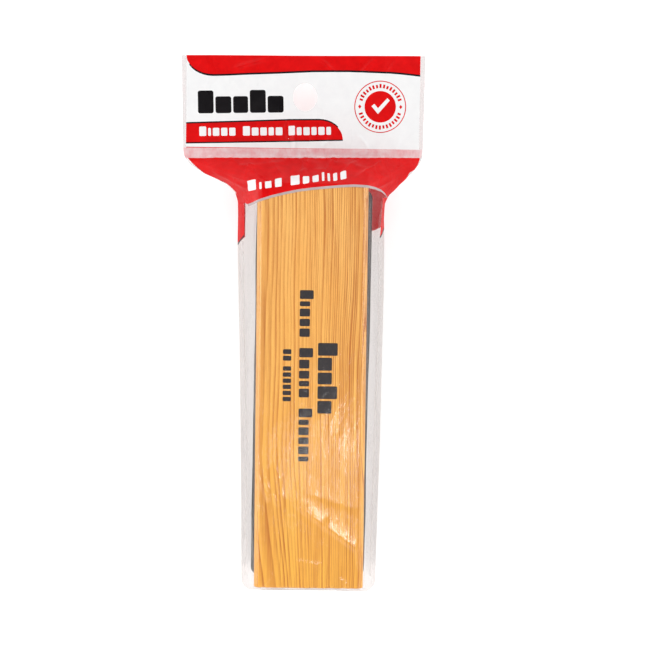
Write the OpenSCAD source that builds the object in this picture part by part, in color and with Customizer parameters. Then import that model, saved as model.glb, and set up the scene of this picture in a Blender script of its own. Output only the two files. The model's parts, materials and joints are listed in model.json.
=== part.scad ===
// Chalkboard eraser in its hanging bag: a wooden grip block on a corduroy-covered foam pad,
// inside a welded film sleeve with a printed, flat hanging header.
//
// Millimetres. The origin is the centre of the eraser's footprint on the surface it lies on.
// +X runs across the block, +Y along it towards the header, +Z up from the pad to the grip.

/* [Grip block] */
// Width of the wooden block
block_w = 45; // [42:0.5:47]
// Length of the wooden block
block_l = 165; // [140:1:200]
// Thickness of the wooden block
block_h = 16; // [14:0.5:22]
// Rounding of the two long top edges
block_round = 2.5; // [1:0.5:4]
// Radius of the cutter that makes the finger grooves
groove_r = 8; // [7:0.5:12]
// Depth of each finger groove
groove_depth = 2.5; // [1:0.5:3]

/* [Pad] */
// Width of the pad over its cloth
pad_w = 48.4; // [44:0.2:49]
// Length of the pad over its cloth
pad_l = 164; // [136:1:198]
// Radius of the pad's upright corners
pad_corner = 3; // [1.5:0.5:5]
// Thickness of the foam core
foam_h = 16.5; // [10:0.5:24]
// Thickness of the corduroy, pile included
cloth_t = 1; // [0.6:0.1:1.5]
// Width of the hem that turns over the pad board
hem_w = 11; // [8:0.5:14]
// Thickness of the pad board
board_t = 1.5; // [1:0.1:3]
// Angle by which the pad is glued on out of line with the block
pad_skew = 0.5; // [0:0.1:0.8]

/* [Staples] */
// Staples along each long side of the hem
side_staples = 6; // [3:1:9]
// Width of a staple's crown
crown_w = 9; // [6:0.5:12]
// Width of the staple wire across its flat side
wire_w = 0.7; // [0.5:0.1:1]
// Thickness of the staple wire
wire_t = 0.45; // [0.3:0.05:0.5]
// Depth that a staple reaches below the hem's top
staple_depth = 2.3; // [1.8:0.1:2.4]

/* [Sleeve] */
// Thickness of each ply of film
film_t = 0.25; // [0.2:0.05:0.3]
// Clearance between the eraser and the film above and below it
film_gap = 0.35; // [0.3:0.05:1]
// Clearance between the eraser's ends and the film
end_gap = 0.55; // [0.5:0.05:2]
// Width of the welded seam along each side
weld_w = 1.5; // [1:0.5:3]
// Width of the sleeve between its seams at the closed end
sleeve_end_w = 54; // [53:0.5:60]
// Width of the sleeve between its seams where it starts to flare
sleeve_mid_w = 57.6; // [54:0.2:64]
// Width of the sleeve between its seams at the tear line
sleeve_mouth_w = 69; // [60:0.2:80]
// Length of the flared part of the sleeve
flare_l = 9; // [5:1:20]
// Radius of the sleeve's corners at the closed end
end_corner = 5; // [3:0.5:8]

/* [Closure] */
// Length of the lip that folds under the sleeve
lip_l = 28; // [20:1:40]
// Width that the lip loses on each side towards its edge
lip_taper = 3; // [0:0.5:6]
// Width of the strip of adhesive on the lip
strip_w = 10; // [6:1:14]
// Thickness of the strip of adhesive
strip_t = 0.08; // [0.06:0.01:0.1]

/* [Header] */
// Length of the shoulder from the tear line to the header's weld
shoulder_l = 11.6; // [11:0.2:20]
// Width of the header
header_w = 101; // [90:1:120]
// Length of the header above its weld
header_l = 41.1; // [35:0.1:60]
// Sideways offset of the header from the block's centre line
header_shift = -4.7; // [-6:0.1:6]
// Radius of the hanging hole
hole_r = 5; // [3:0.5:6]
// Distance from the header's top edge to the centre of the hanging hole
hole_drop = 17.5; // [12:0.2:25]
// Sideways offset of the hanging hole from the header's centre line
hole_shift = 0.8; // [-3:0.1:3]

/* [Hidden] */
$fn = 48;

// Heights, from the supporting surface up.
lip_gap = 0.1; // under the raised end of the back film
step_z = film_t + lip_gap; // underside of the back film above the lip
pad_z = step_z + film_t + film_gap; // underside of the pad
foam_z = pad_z + cloth_t;
board_z = foam_z + foam_h;
hem_z = board_z + board_t;
block_z = hem_z + cloth_t; // underside of the wooden block
top_z = block_z + block_h + film_gap + film_t; // outer face of the sleeve's front film
mid_z = top_z / 2; // plane of the side welds and of the header

// Places along the bag.
end_y = -block_l / 2 - end_gap - film_t; // outer face of the closed end
step_y = end_y + lip_l + 2; // where the back film steps down past the lip
tear_gap = 0.2; // between the sleeve and the shoulder at the tear line
mouth_y = block_l / 2 + end_gap + film_t; // open edge of the sleeve
tear_y = mouth_y + tear_gap; // lower edge of the shoulder
flare_y = mouth_y - flare_l;
weld_y = tear_y + shoulder_l; // top edge of the shoulder
fold_gap = 0.5; // from the shoulder to the fold line of the header
fold_y = weld_y + fold_gap;
header_y = fold_y + 0.4; // lower edge of the header's plies

hem_gap = 0.5; // between the hem and the glue bed
seam_gap = 0.1; // between the end wall and the sleeve's rounded corners
flap_w = sleeve_end_w - 2 * end_corner - 2 * seam_gap;
lip_hinge_z = film_t + 0.02;
wall_top_z = top_z - film_t - 0.2;
thin = 0.01; // thickness of the sections that the shoulder is lofted between
reach = 400; // larger than the whole bag, for cutting planes

function arc(cx, cy, r, from, to, steps = 6) =
    [for (i = [0 : steps]) let (a = from + (to - from) * i / steps) [cx + r * cos(a), cy + r * sin(a)]];

function mirrored(points) = [for (i = [len(points) - 1 : -1 : 0]) [-points[i][0], points[i][1]]];

// Right half of the sleeve's plan, moved inwards by inset, from its closed end to past its mouth.
function half_plan(inset, past) = concat(
    arc(sleeve_end_w / 2 - end_corner, end_y + end_corner, end_corner - inset, -90, 0),
    [
        [sleeve_mid_w / 2 - inset, flare_y],
        [sleeve_mouth_w / 2 - inset, mouth_y],
        [sleeve_mouth_w / 2 - inset, mouth_y + past],
    ]
);

function sleeve_plan(inset, past = 0) = concat(half_plan(inset, past), mirrored(half_plan(inset, past)));

module rounded_plate(w, l, h, r) {
    linear_extrude(h) {
        square([w - 2 * r, l], center = true);
        square([w, l - 2 * r], center = true);
        for (x = [-1, 1], y = [-1, 1]) {
            translate([x * (w / 2 - r), y * (l / 2 - r)]) circle(r);
        }
    }
}

module centred_box(w, l, h) {
    linear_extrude(h) square([w, l], center = true);
}

// ---- The eraser ----

module block_section() {
    difference() {
        union() {
            translate([-block_w / 2, 0]) square([block_w, block_h - block_round]);
            translate([-block_w / 2 + block_round, 0]) square([block_w - 2 * block_round, block_h]);
            for (x = [-1, 1]) {
                translate([x * (block_w / 2 - block_round), block_h - block_round]) circle(block_round);
            }
        }
        for (x = [-1, 1]) {
            translate([x * (block_w / 2 + groove_r - groove_depth), block_h / 2]) circle(groove_r);
        }
    }
}

module grip_block() {
    color("#dfa55a")
        translate([0, block_l / 2, block_z])
            rotate([90, 0, 0])
                linear_extrude(block_l) block_section();
}

// Everything in the pad is turned by the same small angle.
module in_pad(z) {
    rotate([0, 0, -pad_skew]) translate([0, 0, z]) children();
}

module glue_bed() {
    inset = 2 * (cloth_t + hem_w + hem_gap);
    color("#efe3b8") in_pad(hem_z) centred_box(pad_w - inset, pad_l - inset, cloth_t);
}

module pad_board() {
    color("#a98457")
        in_pad(board_z) rounded_plate(pad_w - 2 * cloth_t, pad_l - 2 * cloth_t, board_t, pad_corner - cloth_t);
}

module foam_core() {
    color("#ded9c2")
        in_pad(foam_z) rounded_plate(pad_w - 2 * cloth_t, pad_l - 2 * cloth_t, foam_h, pad_corner - cloth_t);
}

// One piece of cloth: the working face, four sides, and a hem turned in over the pad board.
module corduroy_cover() {
    hem_inset = 2 * (cloth_t + hem_w);
    color("#2c2726") in_pad(pad_z) difference() {
        rounded_plate(pad_w, pad_l, block_z - pad_z, pad_corner);
        translate([0, 0, cloth_t])
            rounded_plate(pad_w - 2 * cloth_t, pad_l - 2 * cloth_t, hem_z - foam_z, pad_corner - cloth_t);
        translate([0, 0, hem_z - pad_z - cloth_t / 2]) centred_box(pad_w - hem_inset, pad_l - hem_inset, 2 * cloth_t);
    }
}

module staple() {
    translate([-crown_w / 2, -wire_w / 2, -wire_t]) cube([crown_w, wire_w, wire_t]);
    for (x = [-1, 1]) {
        translate([x * (crown_w - wire_t) / 2 - wire_t / 2, -wire_w / 2, -staple_depth])
            cube([wire_t, wire_w, staple_depth - wire_t / 2]);
    }
}

module cover_staples() {
    hem_mid = cloth_t + hem_w / 2;
    pitch = (pad_l - 2 * hem_mid - 2 * crown_w) / (side_staples - 1);
    color("silver") in_pad(block_z) {
        for (x = [-1, 1], i = [0 : side_staples - 1]) {
            translate([x * (pad_w / 2 - hem_mid), (i - (side_staples - 1) / 2) * pitch, 0])
                rotate([0, 0, 90]) staple();
        }
        for (y = [-1, 1]) {
            translate([0, y * (pad_l / 2 - hem_mid), 0]) staple();
        }
    }
}

// ---- The sleeve ----

// The outline's wall, from z0 up by h, without the closed end between its rounded corners.
module sleeve_wall(z0, h) {
    translate([0, 0, z0]) difference() {
        linear_extrude(h) polygon(sleeve_plan(0));
        translate([0, 0, -h]) linear_extrude(3 * h) polygon(sleeve_plan(film_t, 5));
        translate([0, end_y, -h]) centred_box(sleeve_end_w - 2 * end_corner, 2 * film_t + 0.3, 3 * h);
    }
}

// The flat seam that stands out along both sides.
module side_welds(z0) {
    translate([0, 0, z0]) difference() {
        linear_extrude(film_t) polygon(sleeve_plan(-weld_w));
        translate([0, 0, -film_t]) linear_extrude(3 * film_t) polygon(sleeve_plan(film_t, 5));
        translate([0, end_y - weld_w, -film_t])
            centred_box(reach, 2 * (weld_w + end_corner), 3 * film_t);
    }
}

module sleeve_front_film() {
    color("gainsboro", 0.4) {
        translate([0, 0, top_z - film_t]) linear_extrude(film_t) polygon(sleeve_plan(0));
        sleeve_wall(mid_z, top_z - film_t - mid_z);
        side_welds(mid_z);
    }
}

// Side view of the back film: flat on the surface, and raised over the closure lip.
module back_film_section() {
    polygon([
        [end_y + 2 * film_t, step_z + film_t], [end_y + 2 * film_t, step_z],
        [step_y, step_z], [step_y + step_z, 0], [mouth_y, 0], [mouth_y, film_t],
        [step_y + step_z, film_t], [step_y, step_z + film_t],
    ]);
}

module sleeve_back_film() {
    color("gainsboro", 0.4) {
        intersection() {
            translate([0, 0, -1]) linear_extrude(4) polygon(sleeve_plan(0));
            translate([reach / 2, 0, 0])
                rotate([0, -90, 0])
                    linear_extrude(reach) mirror_diagonal() back_film_section();
        }
        sleeve_wall(step_z + film_t / 2, mid_z - step_z - film_t / 2);
        intersection() {
            sleeve_wall(film_t / 2, step_z + film_t);
            translate([-reach / 2, step_y + step_z, 0]) cube([reach, reach, 2 * step_z]);
        }
        side_welds(mid_z - film_t);
    }
}

// Swaps the two axes of a flat shape, so that a (y, z) outline can be extruded along X.
module mirror_diagonal() {
    mirror([1, -1]) children();
}

module end_wall_film() {
    color("gainsboro", 0.4)
        translate([-flap_w / 2, end_y, lip_hinge_z + 0.03])
            cube([flap_w, film_t, wall_top_z - lip_hinge_z - 0.03]);
}

module closure_lip() {
    color("whitesmoke", 0.5)
        linear_extrude(film_t) polygon([
            [-flap_w / 2, end_y], [flap_w / 2, end_y],
            [flap_w / 2, end_y + lip_l / 2], [flap_w / 2 - lip_taper, end_y + lip_l],
            [-flap_w / 2 + lip_taper, end_y + lip_l], [-flap_w / 2, end_y + lip_l / 2],
        ]);
}

module adhesive_strip() {
    color("white", 0.6)
        translate([0, end_y + lip_l - 2 - strip_w / 2, film_t])
            centred_box(flap_w - 2 * lip_taper - 2, strip_w, strip_t);
}

// ---- The header ----

// A thin upright section across the bag, for lofting.
module section(x, y, w, h) {
    translate([x, y, mid_z - h / 2]) centred_box(w, thin, h);
}

// The shoulder narrows from the sleeve's mouth to the header's flat weld.
module shoulder_shell() {
    difference() {
        hull() {
            section(0, tear_y + thin / 2, sleeve_mouth_w, top_z);
            section(0, tear_y + thin / 2, sleeve_mouth_w + 2 * weld_w, 2 * film_t);
            section(header_shift, weld_y - thin / 2, header_w, 2 * film_t);
        }
        hull() {
            section(0, tear_y - thin, sleeve_mouth_w - 2 * film_t, top_z - 2 * film_t);
            section(header_shift, weld_y - film_t, header_w - 4 * weld_w, thin);
        }
    }
}

module above_welds() {
    translate([-reach / 2, -reach / 2, mid_z]) cube(reach);
}

module shoulder_front_film() {
    color("#e3201f") intersection() {
        shoulder_shell();
        above_welds();
    }
}

module shoulder_back_film() {
    color("#e3201f") difference() {
        shoulder_shell();
        above_welds();
    }
}

module header_ply(z) {
    difference() {
        translate([header_shift - header_w / 2, header_y, z]) cube([header_w, header_l, film_t]);
        translate([header_shift + hole_shift, header_y + header_l - hole_drop, z - 1])
            cylinder(r = hole_r, h = film_t + 2);
    }
}

module header_front_ply() {
    color("#f2f2f0") header_ply(mid_z);
}

module header_back_ply() {
    color("#f2f2f0") header_ply(mid_z - film_t);
}

grip_block();
glue_bed();
cover_staples();
pad_board();
foam_core();
corduroy_cover();
sleeve_front_film();
sleeve_back_film();
end_wall_film();
closure_lip();
adhesive_strip();
shoulder_front_film();
shoulder_back_film();
header_front_ply();
header_back_ply();
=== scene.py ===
import json
import math
import random

import bmesh
import bpy
import numpy as np
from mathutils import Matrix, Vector
from mathutils.geometry import delaunay_2d_cdt


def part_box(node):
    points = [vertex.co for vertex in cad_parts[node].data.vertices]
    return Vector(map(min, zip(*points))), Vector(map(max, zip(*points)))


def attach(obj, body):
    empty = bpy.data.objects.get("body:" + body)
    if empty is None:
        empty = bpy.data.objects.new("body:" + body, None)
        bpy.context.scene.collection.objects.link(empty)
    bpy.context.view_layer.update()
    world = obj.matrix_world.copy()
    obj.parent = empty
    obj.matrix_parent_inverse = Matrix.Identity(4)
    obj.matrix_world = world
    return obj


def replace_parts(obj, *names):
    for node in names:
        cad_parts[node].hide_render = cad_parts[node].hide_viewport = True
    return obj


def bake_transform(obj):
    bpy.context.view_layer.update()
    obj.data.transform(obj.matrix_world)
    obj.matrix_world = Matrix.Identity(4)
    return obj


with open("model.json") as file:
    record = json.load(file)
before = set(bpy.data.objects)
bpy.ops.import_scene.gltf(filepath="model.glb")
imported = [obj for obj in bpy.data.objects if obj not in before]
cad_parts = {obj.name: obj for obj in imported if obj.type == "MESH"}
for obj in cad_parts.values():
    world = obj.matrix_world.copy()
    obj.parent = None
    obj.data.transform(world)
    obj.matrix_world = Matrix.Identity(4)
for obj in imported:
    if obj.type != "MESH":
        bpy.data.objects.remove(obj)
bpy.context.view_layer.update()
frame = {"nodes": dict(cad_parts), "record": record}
MM = 0.001

# ------------------------------------------------ places, in millimetres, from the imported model


def box_mm(node):
    low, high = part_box(node)
    return np.round(np.array(low) / MM, 3), np.round(np.array(high) / MM, 3)


BLOCK_LO, BLOCK_HI = box_mm("grip_block")
COVER_LO, COVER_HI = box_mm("corduroy_cover")
FRONT_LO, FRONT_HI = box_mm("sleeve_front_film")
LIP_LO, LIP_HI = box_mm("closure_lip")
HEAD_LO, HEAD_HI = box_mm("header_front_ply")
SHOULDER_LO, SHOULDER_HI = box_mm("shoulder_front_film")
HOLE = next(m for m in frame["record"]["mounts"] if m["name"] == "hang_hole")
HOLE_X, HOLE_Y = HOLE["pos_m"][0] / MM, HOLE["pos_m"][1] / MM

MID = HEAD_LO[2]  # height of the side welds and of the header
END_Y = FRONT_LO[1]
TEAR_Y = round((FRONT_HI[1] + SHOULDER_LO[1]) / 2, 3)
WELD_Y = SHOULDER_HI[1]
TOP_Y = HEAD_HI[1]
TOP_Z = FRONT_HI[2]
END_HALF = box_mm("end_wall_film")[1][0] + 0.1  # half the width of the straight part of the closed end
EDGE_R = 2.5  # radius of the grip's long edges

# ------------------------------------------------ meshes


def link(name, data):
    obj = bpy.data.objects.new(name, data)
    bpy.context.scene.collection.objects.link(obj)
    return obj


def new_object(name, verts, faces, material, smooth=True):
    """A mesh object from points in millimetres."""
    mesh = bpy.data.meshes.new(name)
    mesh.from_pydata((np.reshape(verts, (-1, 3)) * MM).tolist(), [], faces)
    mesh.validate()
    mesh.update()
    mesh.materials.append(material)
    if smooth:
        mesh.polygons.foreach_set("use_smooth", [True] * len(mesh.polygons))
    return link(name, mesh)


def set_normals(obj, normals):
    """Gives an object these vertex normals, so that pieces cut from one ply shade as one."""
    obj.data.normals_split_custom_set_from_vertices(np.reshape(normals, (-1, 3)).tolist())


def grid_faces(rows, cols, flip=False, wrap=False, base=0):
    """Quads of a rows by cols grid, numbered from base. With wrap, the last column joins the first."""
    faces = []
    for j in range(rows - 1):
        for i in range(cols if wrap else cols - 1):
            k = (i + 1) % cols
            quad = (j * cols + i, j * cols + k, (j + 1) * cols + k, (j + 1) * cols + i)
            faces.append(tuple(base + n for n in (quad[::-1] if flip else quad)))
    return faces


def sides(ring):
    """The ring's sides, as pairs of points."""
    return zip(ring, ring[1:] + ring[:1])


def smoothstep(x, low, high):
    t = np.clip((np.asarray(x, float) - low) / (high - low), 0, 1)
    return t * t * (3 - 2 * t)


def waves(x, y, count, long_x, long_y, seed):
    """Smooth noise between about -1 and 1, made of waves no shorter than long_x by long_y."""
    rng = np.random.RandomState(seed)
    total = 0
    for _ in range(count):
        kx, ky = rng.uniform(-1, 1, 2) * 2 * math.pi / np.array([long_x, long_y])
        total = total + np.cos(kx * x + ky * y + rng.uniform(0, 6.28))
    return total / math.sqrt(count)


# ------------------------------------------------ materials


class Shader:
    """Builds the nodes of a material or world. Values that are sockets are linked, and others are set."""

    def __init__(self, block):
        self.block = bpy.data.materials.new(block) if isinstance(block, str) else block
        self.block.use_nodes = True
        self.tree = self.block.node_tree
        self.tree.nodes.clear()

    def set(self, socket, value):
        if isinstance(value, bpy.types.NodeSocket):
            self.tree.links.new(value, socket)
        else:
            socket.default_value = value

    def add(self, kind, inputs=None, output=0, **settings):
        node = self.tree.nodes.new("ShaderNode" + kind)
        for key, value in settings.items():
            setattr(node, key, value)
        for key, value in (inputs or {}).items():
            self.set(node.inputs[key], value)
        return node.outputs[output]

    def math(self, operation, a, b=0.0, clamp=False):
        return self.add("Math", {0: a, 1: b}, operation=operation, use_clamp=clamp)

    def times(self, a, b):
        return self.math("MULTIPLY", a, b)

    def plus(self, a, b, clamp=False):
        return self.math("ADD", a, b, clamp)

    def split(self, vector):
        return self.add("SeparateXYZ", {0: vector}).node.outputs

    def position(self, x=1 / MM, y=1 / MM, z=1 / MM):
        """The point in the row frame, scaled. Unless a scale is given, it is in millimetres."""
        place = self.add("TexCoord", output="Object")
        return self.add("VectorMath", {0: place, 1: (x, y, z)}, operation="MULTIPLY")

    def noise(self, vector, scale, detail=3.0, roughness=0.5):
        inputs = {"Vector": vector, "Scale": scale, "Detail": detail, "Roughness": roughness}
        return self.add("TexNoise", inputs)

    def grain(self, x, y, z, detail=3.0, roughness=0.5):
        """Noise with so many cells to a millimetre along each axis."""
        return self.noise(self.position(x / MM, y / MM, z / MM), 1.0, detail, roughness)

    def span(self, value, from_min, from_max, to_min=0.0, to_max=1.0):
        return self.add("MapRange", {0: value, 1: from_min, 2: from_max, 3: to_min, 4: to_max})

    def mix(self, factor, a, b):
        node = self.tree.nodes.new("ShaderNodeMix")
        node.data_type = "RGBA"
        self.set(node.inputs["Factor"], factor)
        for socket, value in zip([s for s in node.inputs if s.type == "RGBA"], (a, b)):
            self.set(socket, value)
        return next(s for s in node.outputs if s.type == "RGBA")

    def ramp(self, factor, *stops):
        """A value that follows stops of (place, value)."""
        colour = self.add("ValToRGB", {0: factor})
        elements = colour.node.color_ramp.elements
        while len(elements) < len(stops):
            elements.new(0.5)
        for element, (place, value) in zip(elements, stops):
            element.position, element.color = place, (value, value, value, 1)
        return colour

    def bump(self, height, strength, distance):
        return self.add("Bump", {"Height": height, "Strength": strength, "Distance": distance})

    def principled(self, **inputs):
        return self.add("BsdfPrincipled", {k.replace("_", " "): v for k, v in inputs.items()})

    def finish(self, surface, output="OutputMaterial"):
        self.set(self.tree.nodes.new("ShaderNode" + output).inputs["Surface"], surface)
        return self.block


def film_material(name, tint, edge, haze, milk, roughness):
    """Clear film: see-through face on, milkier and shinier where it turns away."""
    s = Shader(name)
    fine = s.grain(0.9, 0.5, 0.9, 4, 0.6)
    coarse = s.grain(0.16, 0.06, 0.16, 3, 0.55)
    normal = s.bump(s.plus(s.times(fine, 0.12), coarse), 0.4, 0.0006)
    away = s.math("POWER", s.add("LayerWeight", {"Blend": 0.5}, output="Facing"), 2.2)
    clear = s.add("BsdfTransparent", {"Color": s.mix(away, tint, edge)})
    white = s.add("BsdfDiffuse", {"Color": (0.86, 0.82, 0.80, 1)})
    body = s.add("MixShader", {0: s.plus(s.times(away, milk), haze, clamp=True), 1: clear, 2: white})
    gloss = s.add("BsdfGlossy", {"Color": (1, 1, 1, 1), "Roughness": roughness, "Normal": normal})
    tilt = s.add("LayerWeight", {"Blend": 0.5, "Normal": normal}, output="Facing")
    grazing = s.times(s.math("POWER", tilt, 5.0), 0.38)
    share = s.plus(grazing, s.span(fine, 0.3, 0.7, 0.012, 0.045), clamp=True)
    return s.finish(s.add("MixShader", {0: share, 1: body, 2: gloss}))


def print_material(name, colour, fleck, shine, through):
    """Ink under film: slightly mottled and glossy, and letting some light through from behind."""
    s = Shader(name)
    mottle = s.noise(s.position(1, 1, 1), 260, 4, 0.6)
    broad = s.noise(s.position(1, 0.6, 1), 45, 3, 0.5)
    base = s.mix(s.span(mottle, 0.35, 0.75), colour, fleck)
    front = s.principled(
        Base_Color=base,
        Roughness=s.span(broad, 0.3, 0.7, 0.22, 0.4),
        Specular_IOR_Level=shine,
        Coat_Weight=0.5 * shine,
        Coat_Roughness=0.08,
        Normal=s.bump(s.plus(s.times(mottle, 0.35), broad), 0.28, 0.0006),
    )
    return s.finish(s.add("MixShader", {0: through, 1: front, 2: s.add("BsdfTranslucent", {"Color": base})}))


RED_INK = ((0.78, 0.006, 0.007, 1), (0.66, 0.004, 0.005, 1))
CLEAR = film_material("clear_film", (0.955, 0.94, 0.935, 1), (0.79, 0.75, 0.735, 1), 0.004, 0.04, 0.09)
WELD = film_material("welded_film", (0.85, 0.84, 0.84, 1), (0.76, 0.735, 0.725, 1), 0.08, 0.3, 0.16)
ADHESIVE = film_material("adhesive", (0.93, 0.92, 0.88, 1), (0.8, 0.78, 0.7, 1), 0.2, 0.5, 0.3)
RED = print_material("print_red", *RED_INK, 0.15, 0.35)
RED_BACK = print_material("print_red_back", *RED_INK, 0.15, 0.03)
WHITE = print_material("print_white", (0.735, 0.735, 0.735, 1), (0.70, 0.70, 0.705, 1), 0.3, 0.05)
BLACK = print_material("print_black", (0.005, 0.004, 0.005, 1), (0.009, 0.008, 0.009, 1), 0.15, 0.05)
SEAL = print_material("seal_band", (0.74, 0.56, 0.57, 1), (0.70, 0.32, 0.34, 1), 0.3, 0.2)
RIM = print_material("print_rim", (0.5, 0.43, 0.43, 1), (0.4, 0.33, 0.34, 1), 0.3, 0.2)


# ------------------------------------------------ film

CORNER = 3.6  # plan radius of the bag's closed end
TOP_SKEW = 0.9  # how much lower the header was cut at its left corner
BULGE = 4.2  # how far the closed end stands out at half height
BEND_IN, BEND_SHARE = 0.2, 0.84  # the bend's distance in from the block's side, and its place on the header
LEAST_SIDE = 0.9  # least width of film between the bend and the bag's edge
OVER_BLOCK, OVER_PAD = 0.08, 0.3  # gaps between the film and what it lies on
PLY_GAP = 0.06  # each ply's distance from the middle, where the two lie together
PAD_REACH = 25.2  # the pad holds the upper ply up to this far from the middle
PAD_EDGE = 1.6  # radius at which the lower ply bends round the pad
PLY_LOW, LIP_RISE = 0.12, 0.28  # height of the lower ply past the lip, and how much higher it is over it
WALL_LOW, WALL_DROP = 0.42, 0.5  # height of the end wall's foot, and how far its top lies below the film
UPPER_FREE, LOWER_FREE = -9.0, 99.0  # heights that hold nothing up or down
SWEEPS, OVERSHOOT = 700, 1.75  # of the relaxation that stretches the film
SLEEVE_END, SHOULDER_START = (70, 80), (79, 85)  # rows over which the pocket's and shoulder's wrinkles blend


def line(points):
    """A smooth function of y through points of (y, x)."""
    ys, xs = np.array(sorted(points), float).T
    fine = np.arange(ys[0], ys[-1] + 0.2, 0.2)
    value = np.interp(fine, ys, xs)
    kernel = np.hanning(15)
    kernel /= kernel.sum()
    smooth = np.convolve(np.pad(value, 7, mode="reflect", reflect_type="odd"), kernel, mode="valid")
    return lambda y: np.interp(y, fine, smooth)


EDGES = {
    -1: line([
        (END_Y, 28.6), (-50, 28.9), (-28, 29.3), (14, 30.1), (40, 30.9), (60, 31.4), (70, 31.3), (76, 31.4),
        (80, 32.6), (84.2, 37.6), (88.2, 46.3), (91.3, 51.6), (94.5, 53.8), (97, 54.2), (116, 54.7),
        (TOP_Y, -HEAD_LO[0]),
    ]),
    1: line([
        (END_Y, 28.2), (-50, 28.8), (-28, 29.3), (14, 29.7), (40, 30.0), (60, 29.9), (70, 29.6), (76, 29.9),
        (79.3, 31.4), (83.6, 35.6), (87.8, 39.9), (90.8, 42.5), (93, 44.2), (95.5, 45.2), (116, 45.5),
        (TOP_Y, HEAD_HI[0]),
    ]),
}


def half_width(y, side):
    """Distance from x = 0 to the bag's edge at y, to the left (-1) or the right (1)."""
    y = np.asarray(y, float)
    depth = np.clip(END_Y + CORNER - y, 0, CORNER)
    return EDGES[side](y) - CORNER + np.sqrt(CORNER**2 - depth**2)


def edge_x(y, side):
    return side * float(half_width(y, side))


def bend_width(y, side):
    """Distance from x = 0 to the line where the film bends down over the block's edge."""
    outer = half_width(y, side)
    near = np.minimum(BLOCK_HI[0] - BEND_IN, outer - LEAST_SIDE)
    return near + (BEND_SHARE * outer - near) * smoothstep(y, 80, WELD_Y)


# The film's grid: columns over the top and down each side, and rows that are closest at the closed end.
TOP_COLS, SIDE_COLS = 56, 22
ROWS = np.unique(np.round(np.concatenate([
    END_Y + np.array([0, 0.12, 0.3, 0.5, 0.8, 1.2, 1.7, 2.3, 3, 3.8, 4.6]),
    np.arange(END_Y + 5.4, 70, 0.9), np.arange(70, 98, 0.5), np.arange(98, TOP_Y - 0.2, 0.7),
    [TEAR_Y, TOP_Y],
]), 3))
JOIN_Y = float(ROWS[np.searchsorted(ROWS, 54)])  # where the pocket's plain film meets its printed end


def from_line(x, y, x0, y0, x1, y1):
    """How far along a line the points lie, from 0 to 1, and how far to its left, in millimetres."""
    dx, dy = x1 - x0, y1 - y0
    long = math.hypot(dx, dy)
    along = ((x - x0) * dx + (y - y0) * dy) / long**2
    return along, ((y - y0) * dx - (x - x0) * dy) / long


def crease(x, y, x0, y0, x1, y1, width, height):
    """A sharp fold along a line, fading out towards both ends."""
    along, left = from_line(x, y, x0, y0, x1, y1)
    fade = smoothstep(along, -0.05, 0.3) * (1 - smoothstep(along, 0.65, 1.05))
    return height * fade * np.exp(-np.abs(left) / width)


def ridge(x, y, x0, y0, x1, y1, rise, fall, height):
    """A long fold that the film climbs to from the left and drops from on the right."""
    along, left = from_line(x, y, x0, y0, x1, y1)
    ends = smoothstep(along, -0.15, 0.25) * (1 - smoothstep(along, 0.85, 1.1))
    return ends * height * np.exp(-np.where(left > 0, left / rise, -left / fall))


def bulge(z):
    """How far the closed end stands out at a height."""
    return BULGE * smoothstep(1 - np.abs(z - MID) / (TOP_Z - MID), 0.0, 1.0)


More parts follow.
